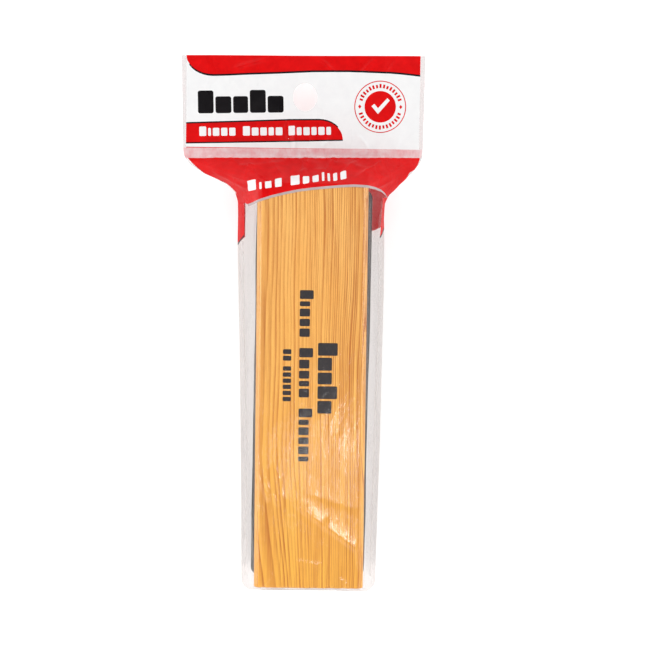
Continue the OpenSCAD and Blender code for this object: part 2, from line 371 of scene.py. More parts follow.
class Film:
    """One ply of the bag, as a grid of points. side is 1 for the upper ply and -1 for the lower."""

    def __init__(self, side, tag, wrinkle):
        self.side, self.tag = side, tag
        cols = np.arange(-(TOP_COLS + SIDE_COLS), TOP_COLS + SIDE_COLS + 1)
        self.outer = np.stack([half_width(ROWS, -1), half_width(ROWS, 1)])
        self.inner = np.stack([bend_width(ROWS, -1), bend_width(ROWS, 1)])
        which = (cols > 0).astype(int)
        inner, outer = self.inner[which].T, self.outer[which].T
        top = np.minimum(np.abs(cols), TOP_COLS) / TOP_COLS
        down = np.maximum(np.abs(cols) - TOP_COLS, 0) / SIDE_COLS
        x = np.sign(cols) * (inner * top + (outer - inner) * down)
        y = np.repeat(ROWS[:, None], len(cols), 1)
        down = down[None, :] + 0 * x
        z = self.drape(x, y, down)
        out = bulge(z) * (1 - smoothstep(y, END_Y, END_Y + 14))
        skew = TOP_SKEW * smoothstep(y, TOP_Y - 5, TOP_Y) * (HEAD_HI[0] - x) / (HEAD_HI[0] - HEAD_LO[0])
        self.points = np.stack([x, y - out - skew, z], -1)
        self.normals = self.normal_grid()
        self.points = self.points + self.normals * wrinkle(x, y, down)[..., None]
        self.normals = self.normal_grid()

    def support(self, x, y):
        """Heights of what the ply lies on: the block and the pad's rim, or the pad and the lip."""
        x = np.abs(x)
        if self.side > 0:
            free = UPPER_FREE
            over = np.clip(x - (BLOCK_HI[0] - EDGE_R), 0, EDGE_R)
            block = BLOCK_HI[2] - EDGE_R + OVER_BLOCK + np.sqrt(EDGE_R**2 - over**2)
            pad = np.where(x < PAD_REACH, COVER_HI[2] + OVER_PAD, free)
            rest = np.where(x < BLOCK_HI[0] + 0.1, block, pad)
        else:
            free = LOWER_FREE
            under = np.clip(x - (COVER_HI[0] - PAD_EDGE), 0, PAD_EDGE)
            pad = COVER_LO[2] - OVER_PAD + PAD_EDGE - np.sqrt(PAD_EDGE**2 - under**2)
            lip_z = PLY_LOW + LIP_RISE * (1 - smoothstep(y, LIP_HI[1] + 0.5, LIP_HI[1] + 4))
            rest = np.where(x < COVER_HI[0], np.minimum(pad, lip_z), free)
        return np.where((y > END_Y + 0.3) & (y < TEAR_Y + 0.2), rest, free)

    def drape(self, x, y, down):
        """Stretches the ply over what it lies on, held at the welds, by relaxing the grid's heights."""
        rest = self.support(x, y)
        limit = np.maximum if self.side > 0 else np.minimum
        flat = MID + PLY_GAP * self.side
        level = BLOCK_HI[2] + 0.1 if self.side > 0 else COVER_LO[2] - OVER_PAD
        fixed = (down > 0.999) | (y > WELD_Y)
        z = flat + (level - flat) * (1 - down) * (1 - smoothstep(y, TEAR_Y, WELD_Y))
        z = np.where(fixed, flat, z)
        at_wall = level - WALL_DROP if self.side > 0 else WALL_LOW
        z[0] = np.where(np.abs(x[0]) > END_HALF, flat + (level - flat) * (1 - down[0]), at_wall)
        fixed[0] = True
        z = limit(z, np.where(fixed, z, rest))
        across = 1 / np.diff(x, axis=1) ** 2
        along = 1 / (np.diff(y, axis=0) ** 2 + 0.3 * np.diff(x, axis=0) ** 2)
        west, east, south, north = across[1:-1, :-1], across[1:-1, 1:], along[:-1, 1:-1], along[1:, 1:-1]
        total = west + east + south + north
        free = ~fixed[1:-1, 1:-1]
        j, i = np.indices(free.shape)
        for half_sweep in range(2 * SWEEPS):
            pull = west * z[1:-1, :-2] + east * z[1:-1, 2:] + south * z[:-2, 1:-1] + north * z[2:, 1:-1]
            core = z[1:-1, 1:-1]
            target = limit(core + OVERSHOOT * (pull / total - core), rest[1:-1, 1:-1])
            z[1:-1, 1:-1] = np.where(free & ((i + j + half_sweep) % 2 == 0), target, core)
        return z

    def normal_grid(self):
        rows = np.gradient(self.points, axis=0)
        cols = np.gradient(self.points, axis=1)
        normal = np.cross(cols, rows) * self.side
        return normal / np.maximum(np.linalg.norm(normal, axis=-1, keepdims=True), 1e-9)

    def at(self, x, y):
        """Points and normals on the ply for places given as seen from above."""
        x = np.asarray(x, float)
        inner, outer = (
            np.where(x > 0, np.interp(y, ROWS, widths[1]), np.interp(y, ROWS, widths[0]))
            for widths in (self.inner, self.outer)
        )
        size = np.minimum(np.abs(x), outer)
        on_side = TOP_COLS + (size - inner) / (outer - inner) * SIDE_COLS
        col = np.sign(x) * np.where(size < inner, size / inner * TOP_COLS, on_side) + TOP_COLS + SIDE_COLS
        row = np.interp(y, ROWS, np.arange(len(ROWS)))
        j = np.minimum(row.astype(int), len(ROWS) - 2)
        i = np.minimum(col.astype(int), self.points.shape[1] - 2)
        v, u = (row - j)[:, None], (col - i)[:, None]

        def sample(grid):
            low = grid[j, i] * (1 - u) + grid[j, i + 1] * u
            high = grid[j + 1, i] * (1 - u) + grid[j + 1, i + 1] * u
            return low * (1 - v) + high * v

        normal = sample(self.normals)
        return sample(self.points), normal / np.linalg.norm(normal, axis=1, keepdims=True)

    def mesh(self, name, high_y, material):
        """The ply from the closed end up to a row, as an object."""
        count = np.searchsorted(ROWS, high_y) + 1
        faces = grid_faces(count, self.points.shape[1], self.side < 0)
        obj = new_object(name, self.points[:count], faces, material)
        set_normals(obj, self.normals[:count])
        return obj


# Creases: x0, y0, x1, y1, width, height.
BLOCK_FOLDS = [
    (-22.5, -44, -27.5, -68, 0.8, 0.8), (-22, -46, -22.6, -70, 0.5, 0.35), (-19, -38, -15.5, -47, 0.6, 0.35),
    (-16, -41, -12.5, -49, 0.5, 0.35), (-20.5, -33, -18, -44, 0.5, 0.3), (19, -64, 22.6, -83, 0.5, 0.5),
    (28.6, 81, 25.6, 61, 0.8, 0.7), (-6, -71.5, 7, -73, 0.5, 0.22), (21, -66, 23, -80, 0.6, 0.4),
    (-28, -70, -23, -82.6, 0.8, 0.8), (-27, -79, -22, -83, 0.6, 0.6), (24, -76, 27.5, -82, 0.7, 0.5),
    (-14, -76, -20, -83, 0.5, 0.25), (12, -78, 19, -83, 0.5, 0.25), (4, -60, 9, -52, 0.5, 0.2),
]
SHOULDER_FOLDS = [
    (-22, 83, -50, 93, 0.9, 0.9), (-24, 80, -44, 90, 0.8, 0.7), (-20, 84.5, -36, 94, 0.9, 0.6),
    (-12, 84.5, -19, 94.5, 0.9, 0.7), (-4, 85, -3, 96, 0.8, 0.8), (3, 85, 9, 96, 0.7, 0.7),
    (10, 86, 20, 95, 0.9, 0.8), (16, 85, 31, 95, 0.8, 0.8), (22, 83.5, 42, 94, 0.9, 0.9),
    (24, 81, 36, 88, 0.8, 0.7), (-31, 90, -12, 92, 0.8, 0.5), (12, 91, 30, 90, 0.8, 0.5),
    (-8, 88, 8, 89.5, 0.8, 0.45), (-46, 92, -30, 92.5, 0.7, 0.4),
]
HEADER_FOLDS = [
    (-9.5, 96, -12, 112, 0.8, -0.8), (-7, 97, -8.5, 110, 0.8, 0.8), (-2, 97, -3.5, 110, 0.8, -0.6),
    (-13, 100, -18, 108, 0.8, 0.5), (3, 98, 8, 104, 0.8, 0.6), (24, 97, 18, 105, 0.8, 0.5),
    (33, 97, 36, 104, 0.8, 0.5), (18, 128, 26, 137, 0.8, 0.6), (27, 127, 33, 137, 0.8, -0.6),
    (9, 129, 1, 137, 0.8, 0.5), (-36, 130, -18, 136, 0.8, 0.5),
]
END_FOLDS = [
    # x and z in place of x and y
    (-21.9, 1, -3, 22, 0.6, 1.1), (21.9, 1, 4, 21, 0.6, 1.1), (-21.9, 36, -8, 25, 0.6, 0.8),
    (21.9, 36, 9, 26, 0.6, 0.8), (-3, 22, 4, 21, 0.6, 0.6), (-1, 2, 1, 20, 0.7, 0.5),
    (-14, 3, -9, 14, 0.5, 0.4), (12, 4, 17, 15, 0.5, 0.4), (-16, 30, 15, 31, 0.6, 0.4),
]
RIDGES = [
    # x0, y0, x1, y1, how far the film climbs to it, how far it drops, height
    (-9, -45.5, 22, -68, 6.0, 0.8, 0.62), (-4, -42, 20, -50, 5.0, 1.0, 0.12),
    (22, -67, 25, -84, 2.0, 0.8, 0.5), (-19.5, -38, -16.5, -46, 0.9, 1.8, 0.55),
    (-14.5, -33, -11.5, -48, 0.9, 1.8, 0.5), (-20.8, -45, -19.8, -74, 0.9, 1.8, 0.5),
]


def zones(y):
    """How much each place belongs to the sleeve, to the shoulder and to the header."""
    shoulder = smoothstep(y, *SHOULDER_START) * (1 - smoothstep(y, WELD_Y - 3, WELD_Y + 0.5))
    return 1 - smoothstep(y, *SLEEVE_END), shoulder, smoothstep(y, WELD_Y - 1, WELD_Y + 4)


def header_wrinkle(x, y, down):
    """What both plies of the header share, because they lie together."""
    broad = 0.55 * waves(x, y, 10, 60, 34, 6) + 0.1 * waves(x, y, 12, 16, 12, 7)
    return zones(y)[2] * broad + folded(x, y, down, HEADER_FOLDS)


def folded(x, y, down, folds):
    """The height of some creases, which fade out at the side welds."""
    return sum(crease(x, y, *fold) for fold in folds) * (1 - smoothstep(down, 0.92, 1.0))


def front_wrinkle(x, y, down):
    """How far the upper ply stands off its drape, in millimetres."""
    sleeve, shoulder, _ = zones(y)
    on_top = 1 - smoothstep(down, 0.0, 0.12)
    on_side = smoothstep(down, 0.02, 0.2) * (1 - smoothstep(down, 0.8, 0.98))
    w = on_top * sleeve * (0.16 + 0.14 * waves(x, y, 16, 26, 48, 3))
    w += on_side * sleeve * (0.35 * waves(down * 22, y, 14, 16, 70, 4) + 0.12 * waves(x, y, 12, 9, 14, 5))
    w += shoulder * (0.35 * waves(x, y, 14, 13, 20, 8) + 0.16 * waves(x, y, 12, 6, 8, 9))
    w += header_wrinkle(x, y, down) + folded(x, y, down, BLOCK_FOLDS + SHOULDER_FOLDS)
    w += on_top * sum(ridge(x, y, *place) for place in RIDGES)
    w = np.where((down < 0.15) & (y < TEAR_Y + 1), np.maximum(w, -0.02), w)  # stays out of the block
    return w * smoothstep(y, END_Y, END_Y + 2.5)


def back_wrinkle(x, y, down):
    """How far the lower ply stands off its drape, in millimetres."""
    sleeve, shoulder, _ = zones(y)
    on_side = smoothstep(down, 0.05, 0.25) * (1 - smoothstep(down, 0.8, 0.98))
    w = on_side * sleeve * (0.3 * waves(down * 22, y, 14, 16, 70, 14) + 0.1 * waves(x, y, 12, 9, 14, 15))
    w += shoulder * (0.3 * waves(x, y, 14, 13, 20, 18) + 0.14 * waves(x, y, 12, 6, 8, 19))
    w -= header_wrinkle(x, y, down)
    return w * smoothstep(y, END_Y, END_Y + 2.5)


# ------------------------------------------------ prints

TOO_NEAR = 0.12  # inner points this near an edge are left out
PRINT_STEP = 0.9  # longest piece of a print's edge


def inside(points, rings):
    """Which points lie within the rings, by the even-odd rule."""
    x, y = points.T
    odd = np.zeros(len(x), bool)
    for ring in rings:
        low, high = np.min(ring, 0), np.max(ring, 0)
        near = np.where((y >= low[1]) & (y <= high[1]) & (x <= high[0]))[0]
        px, py = x[near], y[near]
        flips = np.zeros(len(near), bool)
        for (x0, y0), (x1, y1) in sides(ring):
            if y0 != y1:
                flips ^= ((y0 > py) != (y1 > py)) & (px < (x1 - x0) * (py - y0) / (y1 - y0) + x0)
        odd[near] ^= flips
    return odd


def even_steps(ring, step):
    """The ring with points added so that none are further apart than step."""
    out = []
    for (x0, y0), (x1, y1) in sides(ring):
        n = max(1, math.ceil(math.hypot(x1 - x0, y1 - y0) / step))
        out += [(x0 + (x1 - x0) * k / n, y0 + (y1 - y0) * k / n) for k in range(n)]
    return out


def cut(rings, keep_above):
    """The parts of some rings above or below the tear line."""
    kept = []
    for ring in rings:
        out = []
        for (x0, y0), (x1, y1) in sides(ring):
            in0, in1 = ((y >= TEAR_Y if keep_above else y <= TEAR_Y) for y in (y0, y1))
            if in0:
                out.append((x0, y0))
            if in0 != in1:
                out.append((x0 + (x1 - x0) * (TEAR_Y - y0) / (y1 - y0), TEAR_Y))
        if len(out) > 2:
            kept.append(out)
    return kept


def divide(rings, inner, step):
    """Points and triangles over the rings' whole area, with every ring as edges and inner points between."""
    points, edges = [], []
    for ring in rings:
        ring = even_steps(ring, step)
        base = len(points)
        points += ring
        edges += [(base + i, base + (i + 1) % len(ring)) for i in range(len(ring))]
    rim = np.round(np.array(points) / TOO_NEAR).astype(int)
    taken = {(i + a, j + b) for i, j in rim.tolist() for a in (-1, 0, 1) for b in (-1, 0, 1)}
    cells = np.round(inner / TOO_NEAR).astype(int).tolist()
    points += [tuple(p) for p, cell in zip(inner.tolist(), cells) if tuple(cell) not in taken]
    made = delaunay_2d_cdt([Vector(p) for p in points], edges, [], 0, 1e-6)
    return np.array([tuple(v) for v in made[0]]), np.array(made[2])


def lie_in(verts, tris, rings):
    """Which triangles lie within the rings."""
    return inside(verts[tris].mean(1), rings)


def facing(verts, tris, up):
    """The triangles, each turned to face up or down."""
    a, b, c = (verts[tris[:, k]] for k in range(3))
    turn = (b[:, 0] - a[:, 0]) * (c[:, 1] - a[:, 1]) - (b[:, 1] - a[:, 1]) * (c[:, 0] - a[:, 0])
    return np.where(((turn > 0) == up)[:, None], tris, tris[:, ::-1])


def printed(film, outline, layers, relief=None, extra=np.empty((0, 2))):
    """A stretch of ply cut along every edge of its print, as one object per layer. layers are (name, rings,
    material). Later ones lie over earlier ones, and the first is the bare film. relief moves points off the
    ply, and extra holds points that it needs."""
    nodes = np.concatenate([film.points[..., :2].reshape(-1, 2), extra])
    nodes = nodes[inside(nodes, outline)]
    verts, tris = divide(outline + [ring for _, rings, _ in layers[1:] for ring in rings], nodes, PRINT_STEP)
    tris = facing(verts, tris[lie_in(verts, tris, outline)], film.side > 0)
    owner = np.zeros(len(tris), int)
    for k, (_, rings, _) in enumerate(layers[1:], 1):
        owner[lie_in(verts, tris, rings)] = k
    place, normal = film.at(*verts.T)
    if relief is not None:
        place = place + normal * relief(*verts.T)[:, None]
    made = []
    for k, (name, _, material) in enumerate(layers):
        used, index = np.unique(tris[owner == k], return_inverse=True)
        obj = new_object(f"{name}_{film.tag}", place[used], index.reshape(-1, 3).tolist(), material)
        if relief is None:
            set_normals(obj, normal[used])
        made.append(obj)
    return made


def arc(cx, cy, rx, ry, start, end, step=10):
    """Points along part of an ellipse. Angles are in degrees from the +X side."""
    angles = np.radians(np.linspace(start, end, max(2, round(abs(end - start) / step) + 1)))
    return [(cx + rx * math.cos(a), cy + ry * math.sin(a)) for a in angles]


def oval(cx, cy, rx, ry, n=64):
    angles = [2 * math.pi * k / n for k in range(n)]
    return [(cx + rx * math.cos(a), cy + ry * math.sin(a)) for a in angles]


def box_ring(x0, y0, x1, y1, r):
    """A rounded rectangle."""
    r = min(r, (x1 - x0) / 2.01, (y1 - y0) / 2.01)
    corners = ((x1 - r, y1 - r, 0), (x0 + r, y1 - r, 90), (x0 + r, y0 + r, 180), (x1 - r, y0 + r, 270))
    return [point for cx, cy, start in corners for point in arc(cx, cy, r, r, start, start + 90, 30)]


def turn_ring(ring, degrees, ax, ay, lean=0.0):
    """The ring slanted by lean and turned about a point."""
    c, s = math.cos(math.radians(degrees)), math.sin(math.radians(degrees))
    ring = [(x + lean * (y - ay), y) for x, y in ring]
    return [(ax + c * (x - ax) - s * (y - ay), ay + s * (x - ax) + c * (y - ay)) for x, y in ring]


def word(x, base, widths, heights, gap, r):
    """Plain blocks in a row, which stand for a printed word without being letters."""
    rings, at = [], x
    for w, h in zip(widths, heights):
        rings.append(turn_ring(box_ring(at, base, at + w, base + h, r), TILT, x, base))
        at += w + gap
    return rings


def band(edge, above, below):
    """A line of some thickness along an edge."""
    return [(x, y + above) for x, y in edge] + [(x, y - below) for x, y in edge[::-1]]


MARGIN = 2.1  # clear film outside the print
PRINT_X0, PRINT_X1 = HEAD_LO[0] + MARGIN, HEAD_HI[0] - MARGIN
SEAL_LOW, SEAL_HIGH = WELD_Y - 0.9, WELD_Y + 3.4  # the heat-sealed band
SEAL_RISE = 0.9  # how much higher its lower edge is on the right
RIB_PITCH, RIB_RISE = 1.26, 0.16  # spacing and height of the ribs pressed into it
TILT = 1.4  # degrees: the words run slightly uphill
HANG_HOLE = oval(HOLE_X, HOLE_Y, 5.0, 5.8)
PANEL = [(PRINT_X1, TOP_Y), (PRINT_X0, TOP_Y), (PRINT_X0, SEAL_HIGH - 0.3), (PRINT_X1, SEAL_HIGH - 0.3)]
SEAL_RING = [
    (HEAD_LO[0] + 1.4, SEAL_LOW - 0.3), (-20, SEAL_LOW), (15, SEAL_LOW + 0.5),
    (HEAD_HI[0] - 1.2, SEAL_LOW + SEAL_RISE), (HEAD_HI[0] - 0.6, SEAL_HIGH),
    (HEAD_LO[0] + 0.6, SEAL_HIGH - 0.3),
]
# The lower edge of the red shoulder on the front, which dips over the block from left to right.
ARC = [
    (-27, 74.9), (-22, 76.7), (-16.9, 78.4), (-11, 79.9), (-5.7, 81.0), (0, 81.8), (6, 82.4), (11, 82.9),
    (16.5, 83.2), (21.6, 83.0), (25, 82.5), (27.8, 81.6), (29.6, 80.3), (30.6, 78.9),
]
SHOULDER_LEFT = [
    (-53.0, SEAL_HIGH), (-52.6, SEAL_LOW), (-51.0, 92.2), (-48.6, 90.0), (-45.2, 87.6), (-41.5, 85.9),
    (-37.6, 84.2), (-34.6, 82.4), (-32.4, 80.2), (-30.6, 77.6), (-28.6, 75.6),
]
SHOULDER_RIGHT = [
    (32.4, 80.3), (34.4, 81.9), (36.0, 83.6), (37.8, 85.0), (39.0, 87.2), (40.0, 89.0), (41.8, 90.2),
    (43.2, 92.0), (44.0, 94.2), (44.2, SEAL_HIGH),
]
SHOULDER = SHOULDER_LEFT + ARC + SHOULDER_RIGHT
# The back's red shoulder runs further down at both sides of the pad.
BACK_SHOULDER = SHOULDER_LEFT[:-2] + [
    (-31.2, 76), (-31.0, 70), (-31.0, 58.8), (-28.8, 61.5), (-28.8, 76), (-27, 79.5), (-20, 80.5), (-8, 81),
    (4, 81), (14, 80), (19.5, 75.5), (22, 68), (24, 64.5), (26.3, 64.8), (29.6, 67), (29.4, 72),
    (29.7, 77.2),
] + SHOULDER_RIGHT


def outline(y0, y1, joins=()):
    """The bag's outline between two rows. joins are the plain grid's x values where the two meet."""
    ys = [float(y) for y in ROWS if y0 - 1e-6 <= y <= y1 + 1e-6]
    left, right = ([(edge_x(y, side), y) for y in ys] for side in (-1, 1))
    return left[::-1] + [(float(x), ys[0]) for x in joins[1:-1]] + right


def band_shapes():
    """The header's two red bands, upper and lower, and the black lines along them."""
    edge = arc(PRINT_X0 + 11.0, 136.4, 11.0, 8.0, 185, 270) + [
        (-36, 128.6), (-29.3, 129.0), (-14.2, 129.8), (-0.6, 130.6), (14.3, 130.8), (31.3, 130.3),
        (38, 129.8), (PRINT_X1, 129.2),
    ]
    upper_band = [(PRINT_X0, TOP_Y)] + edge + [(PRINT_X1, TOP_Y)]
    crown = [(PRINT_X0, 108.1), (-30, 109.1), (-10, 110.0)] + arc(2.0, 102.6, 9.9, 7.6, 90, 5)
    base = [(12.0, 102.3), (-20, 101.3), (PRINT_X0, 100.3)]
    lines = [band(edge[2:], 0.1, 0.65), band(crown[:9], 0.55, 0.05), band(base, 0.05, 0.5)]
    return [upper_band, crown + base], lines


def badge_shapes(cx, cy):
    """A round seal: a thin ring, a circle of plain marks and a disc, with a tick on the disc."""
    rings = [oval(cx, cy, 10.75, 10.75, 96), oval(cx, cy, 10.35, 10.35, 96), oval(cx, cy, 6.5, 6.5)]
    for k in range(36):
        angle = 10 * k
        if min(angle, abs(angle - 180), 360 - angle) > 15:
            near, far = 7.7, 7.7 + (1.7, 1.4, 1.6)[k % 3]
            mark = [(cx + r, cy + t) for r, t in ((near, -0.42), (far, -0.42), (far, 0.42), (near, 0.42))]
            rings.append(turn_ring(mark, angle, cx, cy))
    for x in (cx - 8.5, cx + 8.5):
        rings.append([(x - 0.7, cy), (x, cy - 0.9), (x + 0.7, cy), (x, cy + 0.9)])
    tick = [(-3.6, 0.2), (-2.5, 1.2), (-0.9, -0.6), (2.9, 3.6), (3.9, 2.6), (-0.9, -3.0)]
    return rings, [[(cx + x, cy + y) for x, y in tick]]


def front_words():
    """Plain blocks where the header's front has words: black ones, and white ones on the lower band."""
    bold = word(-48.2, 112.3, (6.5, 6.6, 6.2, 6.6, 6.6), (9.4, 6.9, 6.9, 9.4, 6.9), 0.75, 0.9)
    small = []
    for x, base, widths in (
        (-47.6, 103.0, (2.9, 1.2, 2.7, 2.6, 2.6)), (-29.5, 103.4, (2.9, 2.8, 2.7, 2.2, 2.8)),
        (-10.6, 103.8, (2.7, 2.0, 2.6, 2.1, 2.6, 1.9)),
    ):
        small += word(x, base, widths, (3.9, 3.3, 3.3, 3.3, 3.3, 3.3), 0.75, 0.45)
    return bold, small


def back_words():
    """Rows of plain blocks where the back of the header has small print."""
    rows, draw = [], random.Random(40)
    for row in range(6):
        x, end = -45.0, (-14 if row < 3 else 30)
        y = 123.0 - 3.4 * row - (5 if row > 2 else 0)
        while x < end:
            w = draw.uniform(3, 9)
            rows.append(box_ring(x, y, x + w, y + 1.4, 0.4))
            x += w + 1.2
    return rows


def shoulder_words():
    """Small plain blocks along the red shoulder, climbing to the right: width, height and gap."""
    rings, x, y = [], -26.4, 80.2
    for w, h, gap in (
        (3.3, 4.2, 1.4), (1.0, 2.8, 1.4), (2.6, 2.8, 1.4), (2.7, 3.0, 3.6), (3.6, 3.9, 1.3), (2.6, 2.8, 1.3),
        (2.5, 2.8, 1.3), (1.0, 3.6, 1.3), (1.0, 3.6, 1.3), (1.6, 3.2, 1.3), (2.4, 2.9, 1.0),
    ):
        rings.append(turn_ring(box_ring(x, y, x + w, y + h, 0.35), 9, x, y, lean=0.1))
        x, y = x + w + gap, y + (w + gap) * 0.13
    return rings


def seal_relief(x, y):
    """The ribs that the sealing jaws pressed into the band."""
    low = np.interp(x, [SEAL_RING[0][0], SEAL_RING[3][0]], [SEAL_LOW - 0.3, SEAL_LOW + SEAL_RISE]) - 0.5
    rim = np.minimum(y - low, SEAL_HIGH - 0.2 - y)
    ribs = 0.5 + 0.5 * np.cos(2 * math.pi * x / RIB_PITCH)
    return RIB_RISE * ribs * smoothstep(rim, 0.0, 0.4)


def seal_points():
    """Extra points in the sealed band, close enough for its ribs."""
    across = np.arange(HEAD_LO[0] + 0.5, HEAD_HI[0] - 0.4, RIB_PITCH / 4)
    x, y = np.meshgrid(across, np.arange(SEAL_LOW - 1, SEAL_HIGH, 0.6))
    return np.stack([x.ravel(), y.ravel()], -1)


def bend(piece):
    """Bakes the piece's transform into its mesh; it does not bend the film where the header meets the
    shoulder.
    """
    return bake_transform(piece)


def header_pieces(film, cad_nodes):
    """The header and the shoulder below it, down to the line where the bag tears open."""
    bands, lines = band_shapes()
    shoulder = cut([SHOULDER], True)
    layers = [("header_film", None, WELD), ("header_white", [PANEL], WHITE)]
    if film.side > 0:
        badge, tick = badge_shapes(27.3, 116.0)
        bold, small = front_words()
        layers += [
            ("header_red", bands + shoulder, RED), ("badge", badge, RED), ("badge_tick", tick, WHITE),
            ("header_black", lines + bold, BLACK),
            ("header_words", small + cut(shoulder_words(), True), WHITE),
        ]
    else:
        layers.append(("header_red", bands[:1] + shoulder, RED_BACK))
        layers.append(("header_black", lines[:1] + back_words(), BLACK))
    layers.append(("seal_band", [SEAL_RING], SEAL))
    pieces = printed(film, [outline(TEAR_Y, TOP_Y), HANG_HOLE], layers, seal_relief, seal_points())
    for piece in pieces:
        bend(piece)
    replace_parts(pieces[0], *cad_nodes)


def wrap_shapes():
    """The print that folds round from the back at both sides of the sleeve, and its black lower edges."""
    left_y, right_y = ROWS[(ROWS > 58.6) & (ROWS < 80.2)][::-1], ROWS[(ROWS > 66) & (ROWS < 79)]
    left = [(edge_x(y, -1), float(y)) for y in left_y] + [(-28.4, 62.2), (-28.4, 73.2), (-28.6, 75.6)]
    right = [(27.6, 62.2)] + [(edge_x(y, 1), float(y)) for y in right_y] + [(28.6, 78.4)]
    left_edge = [(edge_x(58, -1), 57.9), (-28.4, 61.5), (-28.4, 62.3), (edge_x(58.7, -1), 58.7)]
    right_edge = [(27.6, 61.5), (edge_x(65.3, 1), 65.2), (edge_x(66, 1), 66.1), (27.6, 62.3)]
    return [left, right], [left_edge, right_edge]


def sleeve_pieces(film, cad_node):
    """The pocket up to the tear line. The plain film is the grid, and its printed end is cut up."""
    row = film.points[np.searchsorted(ROWS, JOIN_Y)]
    plain = film.mesh(f"sleeve_film_{film.tag}", JOIN_Y, CLEAR)
    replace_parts(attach(plain, "sleeve"), cad_node)
    layers = [("sleeve_end", None, CLEAR)]
    if film.side > 0:
        wraps, edges = wrap_shapes()
        rim = ARC + [(x + 0.5 * max(0, x - 20) / 11, y - 1.0) for x, y in ARC[::-1]]
        layers += [
            ("wrap_print", wraps, RED), ("wrap_edges", edges, BLACK),
            ("shoulder_red", cut([SHOULDER], False), RED), ("arc_rim", [rim], RIM),
            ("shoulder_words", cut(shoulder_words(), False), WHITE),
        ]
    else:
        layers.append(("shoulder_red", cut([BACK_SHOULDER], False), RED))
    for piece in printed(film, [outline(JOIN_Y, TEAR_Y, row[:, 0])], layers):
        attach(piece, "sleeve")


upper = Film(1, "front", front_wrinkle)
lower = Film(-1, "back", back_wrinkle)
sleeve_pieces(upper, "sleeve_front_film")
sleeve_pieces(lower, "sleeve_back_film")
header_pieces(upper, ["shoulder_front_film", "header_front_ply"])
header_pieces(lower, ["shoulder_back_film", "header_back_ply"])

# ------------------------------------------------ closed end

WELD_IN = 2.4  # how far in from the bag's edge the side welds run
LIP_FILM_Z = 0.13  # height of the lip's film over the floor

def end_wall():
    """The film that closes the end, creased where it was folded in from both sides."""
    cols, rows = 97, 81
    top = upper.at([0.0], [END_Y])[0][0, 2]
    low = LIP_HI[2] + 0.1
    z = np.linspace(low, top, rows)
    halves = []
    for side in (-1, 1):
        edge = np.concatenate([lower.points[0], upper.points[0]])
        edge = edge[side * edge[:, 0] > END_HALF - 0.01]
        edge = edge[np.argsort(edge[:, 2])]
        halves.append(np.interp(z, edge[:, 2], np.abs(edge[:, 0]))[:, None])
    t = np.linspace(-1, 1, cols)[None, :]
    x = t * np.where(t < 0, *halves)
    z = z[:, None] + 0 * x
    stand = 0.35 * waves(x, z, 12, 18, 22, 31) + sum(crease(x, z, *fold) for fold in END_FOLDS)
    fade = smoothstep(z, low, low + 3) * (1 - smoothstep(z, top - 3, top))
    fade = fade * (1 - smoothstep(np.abs(t), 0.9, 1))
    y = END_Y - bulge(z) * (1 - 0.25 * (1 - t**2)) - np.clip(stand, -0.6, 1.4) * fade
    wall = new_object("end_wall_sheet", np.stack([x, y, z], -1), grid_faces(rows, cols), CLEAR)
    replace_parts(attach(wall, "end_flap"), "end_wall_film")


def repaint(node, material):
    """Gives a part that keeps its CAD shape a better material."""
    obj = frame["nodes"][node]
    obj.data.materials.clear()
    obj.data.materials.append(material)


def lip():
    """The lip that folds under the sleeve, thin film with a slight wave, and its strip of adhesive."""
    cols, rows = 41, 25
    t, v = np.meshgrid(np.linspace(-1, 1, cols), np.linspace(0, 1, rows))
    x = t * (LIP_HI[0] - 3.0 * smoothstep(v, 0.45, 1.0))
    y = LIP_LO[1] + v * (LIP_HI[1] - LIP_LO[1])
    z = LIP_FILM_Z + 0.08 * waves(x, y, 10, 16, 14, 41) * smoothstep(v, 0, 0.1)
    sheet = new_object("closure_lip_sheet", np.stack([x, y, z], -1), grid_faces(rows, cols, True), CLEAR)
    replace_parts(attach(sheet, "flap_lip"), "closure_lip")
    repaint("adhesive_strip", ADHESIVE)


def side_welds():
    """The narrow raised seam along each side of the pocket."""
    across = np.array([-0.45, -0.3, 0.0, 0.3, 0.45])
    rise = np.array([0.02, 0.11, 0.16, 0.11, 0.02])
    ys = ROWS[(ROWS > END_Y + 5) & (ROWS < 60)]
    for side, name in ((-1, "left"), (1, "right")):
        x = side * (half_width(ys, side)[:, None] - WELD_IN + across[None, :])
        y = ys[:, None] + 0 * x
        place, normal = upper.at(x.ravel(), y.ravel())
        place = place + normal * np.tile(rise, len(ys))[:, None]
        seam = new_object(f"side_weld_{name}", place, grid_faces(len(ys), len(across), side < 0), WELD)
        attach(seam, "sleeve")


end_wall()
lip()
side_welds()

# ------------------------------------------------ wooden grip

GROOVE_R, GROOVE_DEPTH = 8.0, 2.5  # the finger groove along each side
END_R = 0.6  # the slight rounding round each sawn end
RING = 0.72  # width of a growth ring
PITH_X, PITH_Z = -32.0, -1.0  # the tree's centre, to the left of the block and below it
NO_FOLD = 0.004  # least rise between the points up the side of an end
# Chips in the top edge of the closed end: x, spread and depth.
CHIPS = [
    (-18.5, 0.9, 0.35), (-9.2, 0.6, 0.2), (2.5, 1.1, 0.3), (9.0, 1.6, 0.4), (14.5, 1.0, 0.5),
    (18.2, 0.7, 0.35),
]


